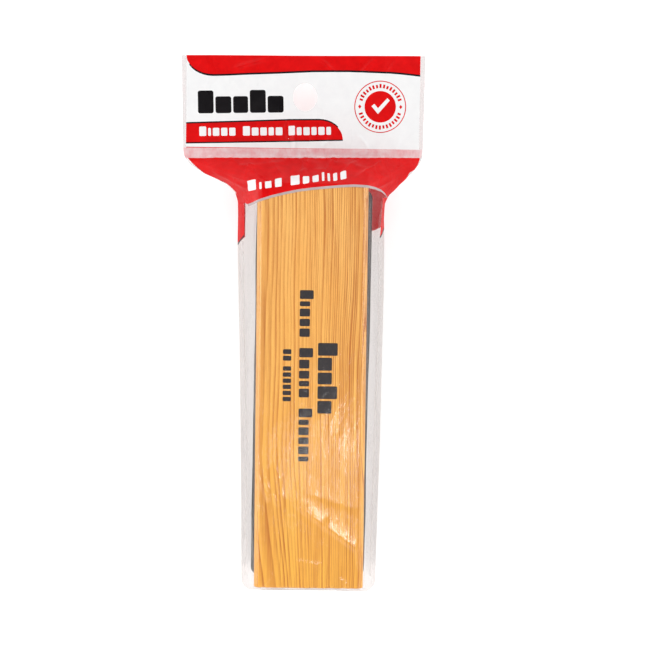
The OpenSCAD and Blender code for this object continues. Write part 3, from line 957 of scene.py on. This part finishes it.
def wood_material():
    """Softwood with its growth rings round a centre off to one side, so they show on every face."""
    s = Shader("oiled_wood")
    x, y, z = s.split(s.position())
    facing_end = s.math("ABSOLUTE", s.split(s.add("TexCoord", output="Normal"))[1])
    along = s.span(facing_end, 0.6, 0.9, 1.0, 0.25)  # less mottled where the grain ends
    ends = s.math("SUBTRACT", 1.0, along)
    # The rings: distance from the tree's centre, made to wander, and slanting at the block's lower left.
    slow = s.span(s.grain(0.035, 0.009, 0.035, 2), 0, 1, -3.2, 3.2)
    quick = s.span(s.grain(0.3, 0.018, 0.3), 0, 1, -0.45, 0.45)
    lower = s.math("POWER", s.span(y, -25, -85), 1.5)
    slant = s.times(s.times(lower, 5.0), s.span(x, 14, -12))
    dx = s.plus(s.math("SUBTRACT", s.plus(x, -PITH_X), slant), s.plus(slow, s.times(quick, along)))
    dz = s.plus(z, -PITH_Z)
    radius = s.math("SQRT", s.plus(s.times(dx, dx), s.times(dz, dz)))
    years = s.noise(s.add("CombineXYZ", {0: s.times(radius, 0.22)}), 1.0, 2)
    count = s.plus(s.math("DIVIDE", radius, RING), s.span(years, 0, 1, -2.6, 2.6))
    year = s.add("TexWhiteNoise", {"W": s.math("FLOOR", count)}, noise_dimensions="1D")
    season = (0.0, 0.0), (0.3, 0.1), (0.62, 0.55), (0.86, 1.0), (0.97, 0.3), (1.0, 0.0)
    late = s.times(s.ramp(s.math("FRACT", count), *season), s.span(year, 0, 1, 0.5, 1.0))
    # The tone from early to late wood, with streaks and fibres. Sawn ends are darker, in broad arcs.
    streak = s.span(s.grain(0.85, 0.022, 0.85, 4, 0.6), 0.3, 0.72, -0.34, 0.38)
    fibre = s.grain(4.5, 0.16, 4.5, 5, 0.62)
    cloud = s.grain(0.09, 0.022, 0.09)
    pore = s.span(s.grain(7, 0.5, 7, 2), 0.66, 0.76)
    arcs = s.noise(s.add("CombineXYZ", {0: s.times(radius, 0.5)}), 1.0, 2)
    tone = s.plus(late, s.times(s.span(fibre, 0.25, 0.75, -0.12, 0.2), along))
    tone = s.plus(tone, s.times(ends, s.span(arcs, 0.35, 0.65, 0.0, 0.8)))
    # Painted shade: the wood is darker towards its right side over its upper half.
    shade = s.times(s.span(x, 6, 21, 0, 0.22), s.span(y, -45, 0))
    tone = s.plus(s.plus(tone, s.times(streak, along)), shade, clamp=True)
    down_block = s.span(y, 60, -75)
    warm = s.mix(down_block, (0.88, 0.49, 0.135, 1), (0.89, 0.465, 0.06, 1))
    deep = s.mix(down_block, (0.44, 0.13, 0.010, 1), (0.45, 0.12, 0.003, 1))
    base = s.mix(s.span(cloud, 0.35, 0.7, 0.0, 0.3), s.mix(tone, warm, deep), (0.78, 0.33, 0.04, 1))
    base = s.mix(s.times(pore, 0.3), base, (0.30, 0.10, 0.015, 1))
    base = s.mix(s.times(ends, s.span(cloud, 0.3, 0.7, 0.15, 0.5)), base, (0.36, 0.15, 0.04, 1))
    # The saw scorched the edges of the ends.
    ragged = s.plus(s.math("ABSOLUTE", y), s.span(s.grain(0.9, 0.9, 0.9), 0.3, 0.75, -0.5, 0.45))
    scorch = s.times(s.span(ragged, BLOCK_HI[1] - 0.45, BLOCK_HI[1] + 0.1), 0.6)
    base = s.mix(s.times(scorch, along), base, (0.17, 0.06, 0.018, 1))
    height = s.plus(s.times(late, -0.6), s.times(s.times(fibre, 0.7), along))
    return s.finish(
        s.principled(
            Base_Color=base, Roughness=s.span(tone, 0, 1, 0.42, 0.6), Coat_Weight=0.12, Coat_Roughness=0.35,
            Normal=s.bump(height, 0.35, 0.00012),
        )
    )


def stamp_material():
    """Ink stamped on the wood, thin where the grain stood proud."""
    s = Shader("stamp_ink")
    grain = s.grain(3, 0.5, 3, 4, 0.6)
    base = s.mix(s.span(grain, 0.45, 0.8), (0.011, 0.010, 0.014, 1), (0.05, 0.035, 0.03, 1))
    roughness = s.span(grain, 0.3, 0.7, 0.35, 0.6)
    return s.finish(s.principled(Base_Color=base, Roughness=roughness, Coat_Weight=0.1))


def grip_profile():
    """The grip's section from the middle of its underside, up the right side to the middle of its top."""
    wide, high = BLOCK_HI[0], BLOCK_HI[2] - BLOCK_LO[2]
    low_r = 0.4
    reach = math.sqrt(GROOVE_R**2 - (GROOVE_R - GROOVE_DEPTH) ** 2)
    swing = math.degrees(math.asin(reach / GROOVE_R))
    under = [(x, 0) for x in np.linspace(0, wide - low_r, 9)[:-1]]
    corner = arc(wide - low_r, low_r, low_r, low_r, -90, 0, 22)
    groove = arc(wide + GROOVE_R - GROOVE_DEPTH, high / 2, GROOVE_R, GROOVE_R, 180 + swing, 180 - swing, 4)
    edge = arc(wide - EDGE_R, high - EDGE_R, EDGE_R, EDGE_R, 7, 90, 8)
    top = [(x, high) for x in np.linspace(wide - EDGE_R, 0, 30)[1:]]
    return np.array(under + corner + groove + edge + top) + [0, BLOCK_LO[2]]


def grip_rows():
    """Places along the grip, and how far its section is drawn in there."""
    end = BLOCK_HI[1]
    turns = np.radians(np.arange(90, -1, -18))
    rows = [(end - END_R * (1 - math.sin(a)), END_R * (1 - math.cos(a))) for a in turns]
    rows += [(end - END_R - 0.4 * k, 0) for k in range(1, 9)]
    middle = [(y, 0) for y in np.linspace(rows[-1][0], -rows[-1][0], 60)[1:-1]]
    return rows + middle + [(-y, inset) for y, inset in rows[::-1]]


def grip():
    half = grip_profile()
    loop = np.concatenate([half, (half * [-1, 1])[-2:0:-1]])
    count, mirror = len(loop), 2 * len(half) - 2
    along = np.roll(loop, -1, 0) - np.roll(loop, 1, 0)
    along /= np.linalg.norm(along, axis=1, keepdims=True)
    outward = np.stack([along[:, 1], -along[:, 0]], -1)
    low_i = int(np.argmax(half[:, 1] > BLOCK_LO[2]))
    top_i = int(np.argmax(half[:, 1] > BLOCK_HI[2] - 0.8))
    climb = np.arange(low_i, top_i + 1)
    rows = grip_rows()
    verts = []
    for y, inset in rows:
        ring = loop - outward * inset
        for column in (climb, mirror - climb):
            ring[column, 1] = np.maximum.accumulate(ring[column, 1] - NO_FOLD * climb) + NO_FOLD * climb
        wear = 0.05 * waves(ring[:, 0] * 2, y + ring[:, 1] * 3, 14, 9, 12, 51)
        on_edge = np.exp(-((np.abs(ring[:, 0]) - BLOCK_HI[0] + 0.8) ** 2))
        on_edge = on_edge * smoothstep(ring[:, 1], BLOCK_HI[2] - EDGE_R, BLOCK_HI[2] - 1)
        ring = ring - outward * (np.maximum(wear, 0) * on_edge)[:, None]
        for x0, spread, depth in CHIPS:
            near = np.exp(-(((ring[:, 0] - x0) / spread) ** 2) - ((y + BLOCK_HI[1]) / (0.5 * spread)) ** 2)
            ring[:, 1] -= depth * near * smoothstep(ring[:, 1], BLOCK_HI[2] - 2.4, BLOCK_HI[2] - 0.2)
        verts += [(x, y, z) for x, z in ring]
    faces = grid_faces(len(rows), count, wrap=True)
    # Each end is closed by strips from side to side, with one face along the top.
    strips = [(i, i + 1, mirror - 1 - i, mirror - i) for i in range(low_i, top_i)]
    strips.append(tuple(range(top_i, mirror + 1 - top_i)))
    last = (len(rows) - 1) * count
    faces += [strip[::-1] for strip in strips]
    faces += [tuple(last + i for i in strip) for strip in strips]
    obj = new_object("wooden_grip", verts, faces, wood_material())
    obj.data.set_sharp_from_angle(angle=math.radians(38))
    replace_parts(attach(obj, "eraser"), "grip_block")


def stamp():
    """Plain blocks where the block is stamped, reading down its length with their feet to the left."""
    lines = [
        # left edge, first y, widths of each word's blocks, height and places of the tall ones,
        # height of the others, and the gaps after a block and after a word
        (-4.8, 40.3, ((3.6, 2.0, 3.2, 3.0, 3.4), (3.8, 3.6, 3.2, 2.2, 3.6), (3.6, 2.2, 3.2, 2.8, 3.2, 2.0)),
         5.6, (0,), 4.2, 0.95, 3.6),
        (2.8, 18.9, ((5.2, 5.3, 4.8, 5.2, 5.2),), 8.0, (0, 3), 5.8, 0.8, 0),
        (-11.4, 16.2, ((2.0, 2.0), (1.8, 1.8, 1.8, 1.8, 1.8, 1.8)), 3.4, (0,), 3.4, 0.7, 1.6),
    ]
    rings = []
    for x, y, words, tall, tall_places, low, gap, space in lines:
        for widths in words:
            for k, w in enumerate(widths):
                rings.append(box_ring(x, y - w, x + (tall if k in tall_places else low), y, 0.5))
                y -= w + gap
            y -= space
    verts, tris = divide(rings, np.empty((0, 2)), 1.2)
    tris = facing(verts, tris[lie_in(verts, tris, rings)], True)
    points = np.column_stack([verts, np.full(len(verts), BLOCK_HI[2] + 0.02)])
    obj = new_object("grip_stamp", points, tris.tolist(), stamp_material())
    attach(obj, "eraser")


# ------------------------------------------------ pad

WALE, PILE = 2.2, 0.7  # width and height of a corduroy rib
HEM, FLAT = 10.0, 6.0  # cloth under the grip, and how much of the working face the rim mesh takes in
PAD_SKEW = math.radians(-0.5)  # the pad is glued on a little out of line
PAD_CORNER, PAD_ROUND = 3.0, 2.4  # radii of its upright corners and of its edges


def pad_size():
    """Half the pad's width and length, without the turn that makes its box larger."""
    c, s = math.cos(PAD_SKEW), abs(math.sin(PAD_SKEW))
    half = np.linalg.solve([[c, s], [s, c]], [COVER_HI[0], COVER_HI[1]])
    return half + PAD_CORNER * (c + s - 1)


def turned(points):
    c, s = math.cos(PAD_SKEW), math.sin(PAD_SKEW)
    x, y, z = np.array(points, float).T
    return np.stack([c * x - s * y, s * x + c * y, z], -1)


def corduroy_material():
    s = Shader("corduroy")
    pile = s.grain(9, 9, 9, 4, 0.65)
    tuft = s.grain(1.6, 1.6, 1.6, 3, 0.6)
    nap = s.grain(0.12, 0.05, 0.12)
    base = s.mix(s.span(tuft, 0.3, 0.75), (0.012, 0.010, 0.009, 1), (0.034, 0.028, 0.025, 1))
    base = s.mix(s.span(nap, 0.35, 0.7, 0, 0.6), base, (0.028, 0.022, 0.02, 1))
    base = s.mix(s.span(pile, 0.62, 0.8, 0, 0.5), base, (0.10, 0.085, 0.075, 1))
    height = s.plus(pile, s.times(tuft, 0.8))
    return s.finish(
        s.principled(
            Base_Color=base, Roughness=s.span(pile, 0.3, 0.7, 0.8, 0.98), Sheen_Weight=0.2,
            Sheen_Roughness=0.4, Sheen_Tint=(0.75, 0.68, 0.62, 1), Normal=s.bump(height, 0.7, 0.00025),
        )
    )


def rib(distance):
    """Height of a rib's round back at a distance across the cloth."""
    across = 2 * np.abs(distance / WALE - np.round(distance / WALE))
    return PILE * np.sqrt(np.clip(1 - across**2, 0, 1))


def cover():
    """One piece of corduroy: the working face, the four sides with folded corners, and the hem under the
    grip. Its ribs run along the pad, so they lie along its long sides and stand upright on its ends."""
    half_w, half_l = pad_size() - PILE
    top, low = BLOCK_LO[2] - 0.05, COVER_LO[2] + PILE
    step = WALE / 8
    cx, cy = half_w - PAD_CORNER, half_l - PAD_CORNER
    side_h = top - low - 2 * PAD_ROUND
    bend_l = PAD_ROUND * math.pi / 2

    def section(v):
        """Inset from the side, height, and outward and upward parts of the normal, at v up the cloth."""
        first, last = (np.clip(v - start, 0, bend_l) / PAD_ROUND for start in (FLAT, FLAT + bend_l + side_h))
        inset = PAD_ROUND * (2 - math.sin(first) - math.cos(last))
        inset += max(FLAT - v, 0) + max(v - FLAT - side_h - 2 * bend_l, 0)
        rise = PAD_ROUND * (1 - math.cos(first) + math.sin(last)) + np.clip(v - FLAT - bend_l, 0, side_h)
        return inset, low + rise, math.sin(first + last), -math.cos(first + last)

    # Round the rim: x and y of the corner's centre or the side, and the outward direction. The second half
    # is the first turned about the middle.
    xs = np.linspace(-cx, cx, math.ceil((2 * cx + 1e-6) / step))
    ys = np.linspace(-cy, cy, 84)
    turn = np.radians(np.linspace(0, 90, 12))[1:-1]
    rim = [(x, -cy, 0.0, -1.0) for x in xs] + [(cx, -cy, math.sin(a), -math.cos(a)) for a in turn]
    rim += [(cx, y, 1.0, 0.0) for y in ys] + [(cx, cy, math.cos(a), math.sin(a)) for a in turn]
    rx, ry, nx, ny = np.concatenate([rim, -np.array(rim)]).T
    total = FLAT + bend_l + side_h + bend_l + HEM
    up_side = np.linspace(0, total, int(total / step))
    verts = []
    for v in up_side:
        inset, z, out, rise = section(v)
        edge, reach = max(inset, PAD_CORNER), max(PAD_CORNER - inset, 0)
        x = np.clip(rx, edge - half_w, half_w - edge) + nx * reach
        y = np.clip(ry, edge - half_l, half_l - edge) + ny * reach
        # On an end, the middle flap's upright ribs lie over the long sides' cloth, folded in at a slant.
        climb = np.clip((z - low) / (top - low), 0, 1)
        flap = smoothstep(np.abs(ny), 0.3, 0.6)
        if v >= FLAT:
            flap = flap * smoothstep(half_w + 1.5 - 11 * climb - np.abs(x), -0.25, 0.25)
        height = (rib(x) + 0.35 * climb) * flap + rib(half_w - PAD_ROUND - FLAT + v) * (1 - flap)
        under_grip = smoothstep(inset, 0.9, 2.0) * (rise > 0.5)
        height = height * (1 - under_grip) - 0.1 * under_grip
        sag = -0.12 * (1 + waves(x + 2 * z, y + 2 * z, 10, 30, 34, 61)) * (rise < 0.5)
        height = height + sag * smoothstep(v, FLAT, FLAT + 3)
        verts.append(np.stack([x + nx * out * height, y + ny * out * height, z + rise * height], -1))
    face_w, face_l = half_w - PAD_ROUND - FLAT, half_l - PAD_ROUND - FLAT
    gx, gy = (np.unique(np.round(np.clip(g, -m, m), 6)) for g, m in ((xs, face_w), (ys, face_l)))
    fx, fy = np.meshgrid(gx, gy)
    verts.append(np.stack([fx, fy, low - rib(fx)], -1).reshape(-1, 3))
    faces = grid_faces(len(up_side), len(rx), flip=True, wrap=True)
    faces += grid_faces(len(gy), len(gx), flip=True, base=len(up_side) * len(rx))
    obj = new_object("corduroy_wrap", turned(np.concatenate(verts)), faces, corduroy_material())
    mesh = bmesh.new()
    mesh.from_mesh(obj.data)
    bmesh.ops.remove_doubles(mesh, verts=mesh.verts, dist=2e-6)
    bmesh.ops.dissolve_degenerate(mesh, dist=1e-7, edges=mesh.edges)
    mesh.to_mesh(obj.data)
    mesh.free()
    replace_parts(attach(obj, "eraser"), "corduroy_cover")


def cell_material(name, light, dark, size, roughness=0.9, bump=0.6):
    """A matt material of fine cells or flakes."""
    s = Shader(name)
    cells = s.add("TexVoronoi", {"Vector": s.position(), "Scale": 1 / size}, output=0)
    cloud = s.noise(s.position(), 0.4 / size)
    base = s.mix(s.span(cells, 0.1, 0.8), light, dark)
    base = s.mix(s.span(cloud, 0.35, 0.7, 0, 0.35), base, dark)
    normal = s.bump(s.plus(cells, cloud), bump, size * MM * 0.4)
    return s.finish(s.principled(Base_Color=base, Roughness=roughness, Normal=normal))


def foam_pad():
    """The foam under the cloth, a little crowned on its working face."""
    half_w, half_l = pad_size() - 1.0 - 0.1
    low, high = (v[2] for v in box_mm("foam_core"))
    cols, rows = 25, 61
    count = cols * rows
    gx, gy = np.meshgrid(*(np.sin(np.linspace(-1, 1, n) * math.pi / 2) for n in (cols, rows)))
    past = np.clip(np.abs(gy) * half_l - (half_l - PAD_CORNER), 0, PAD_CORNER)
    x, y = gx * (half_w - PAD_CORNER + np.sqrt(PAD_CORNER**2 - past**2)), gy * half_l
    rim = (1 - np.abs(gx) ** 8) * (1 - np.abs(gy) ** 30)
    crowned = low + 0.9 * (1 - np.clip(rim * 3, 0, 1)) ** 2
    verts = [np.stack([x, y, z], -1).reshape(-1, 3) for z in (crowned, high + 0 * x)]
    faces = grid_faces(rows, cols, flip=True) + grid_faces(rows, cols, base=count)
    border = [(0, i) for i in range(cols)] + [(j, cols - 1) for j in range(1, rows)]
    border += [(rows - 1, i) for i in range(cols - 2, -1, -1)] + [(j, 0) for j in range(rows - 2, 0, -1)]
    faces += [(a, b, b + count, a + count) for a, b in sides([j * cols + i for j, i in border])]
    material = cell_material("foam", (0.72, 0.68, 0.52, 1), (0.5, 0.46, 0.33, 1), 0.6)
    obj = new_object("foam_pad", turned(np.concatenate(verts)), faces, material)
    obj.data.set_sharp_from_angle(angle=math.radians(50))
    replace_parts(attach(obj, "eraser"), "foam_core")


def steel_material():
    s = Shader("staple_steel")
    brushed = s.grain(9, 0.3, 9)
    base = s.mix(s.span(brushed, 0.3, 0.7), (0.55, 0.55, 0.56, 1), (0.4, 0.4, 0.41, 1))
    roughness = s.span(brushed, 0.3, 0.7, 0.25, 0.42)
    return s.finish(s.principled(Base_Color=base, Metallic=1.0, Roughness=roughness))


def inner_parts():
    """The inner parts keep their CAD shapes."""
    board = cell_material("fibreboard", (0.36, 0.22, 0.11, 1), (0.2, 0.11, 0.05, 1), 0.5, 0.8)
    glue = cell_material("dried_glue", (0.8, 0.72, 0.46, 1), (0.66, 0.55, 0.3, 1), 1.4, 0.35, 0.3)
    repaint("pad_board", board)
    repaint("glue_bed", glue)
    repaint("cover_staples", steel_material())


grip()
stamp()
foam_pad()
cover()
inner_parts()

# ------------------------------------------------ camera, floor and light


def camera():
    """The photographer looks down at the bag lying on its back, a little from the header's side."""
    data = bpy.data.cameras.new("camera")
    data.sensor_width, data.sensor_fit = 36.0, "HORIZONTAL"
    data.angle = math.radians(26.7205)
    data.clip_start, data.clip_end = 0.02, 20
    obj = link("camera", data)
    obj.location = Vector((4.02, 63.99, 586.95)) * MM
    obj.rotation_euler = [math.radians(a) for a in (-3.823, 0, 0.727)]
    bpy.context.scene.camera = obj


def floor():
    """A pale floor that glows faintly, so that the red print hardly tints it."""
    s = Shader("pale_floor")
    tone = s.noise(s.position(1, 1, 1), 6)
    base = s.mix(s.span(tone, 0.3, 0.7), (0.66, 0.66, 0.66, 1), (0.68, 0.68, 0.68, 1))
    glow = {"Emission_Color": (1, 1, 1, 1), "Emission_Strength": 0.45}
    material = s.finish(s.principled(Base_Color=base, Roughness=0.9, **glow))
    size, drop = 3000, -0.4
    corners = [(-size, -size, drop), (size, -size, drop), (size, size, drop), (-size, size, drop)]
    new_object("floor", corners, [(0, 1, 2, 3)], material, smooth=False)


def softbox(name, place, target, size, power):
    """A flat light, in millimetres, that faces a point."""
    data = bpy.data.lights.new(name, "AREA")
    data.shape, data.size, data.size_y, data.energy = "RECTANGLE", size[0] * MM, size[1] * MM, power
    obj = link(name, data)
    obj.location = Vector(place) * MM
    obj.rotation_mode = "QUATERNION"
    obj.rotation_quaternion = (Vector(target) - Vector(place)).to_track_quat("-Z", "Y")


def lights():
    """A white tent, darker overhead where the camera looks in, two side boxes and three small lamps."""
    s = Shader(bpy.data.worlds.new("studio"))
    upward = s.split(s.add("TexCoord"))["Z"]
    tent = s.span(upward, 0.80, 0.94, 1.6, 0.1)
    background = s.add("Background", {"Color": (1, 1, 1, 1), "Strength": tent})
    bpy.context.scene.world = s.finish(background, "OutputWorld")
    softbox("glare_box", (14, -172, 900), (0, -20, 0), (125, 100), 0.11)
    softbox("ridge_lamp", (100, -150, 900), (0, -50, 0), (60, 60), 0.22)
    softbox("fold_lamp", (-420, -180, 700), (0, -60, 0), (60, 60), 0.25)
    softbox("left_box", (-800, -100, 500), (0, 0, 0), (500, 900), 1.3)
    softbox("right_box", (800, 100, 500), (0, 0, 0), (500, 900), 0.9)
    bpy.context.scene.view_settings.view_transform = "Standard"


camera()
floor()
lights()
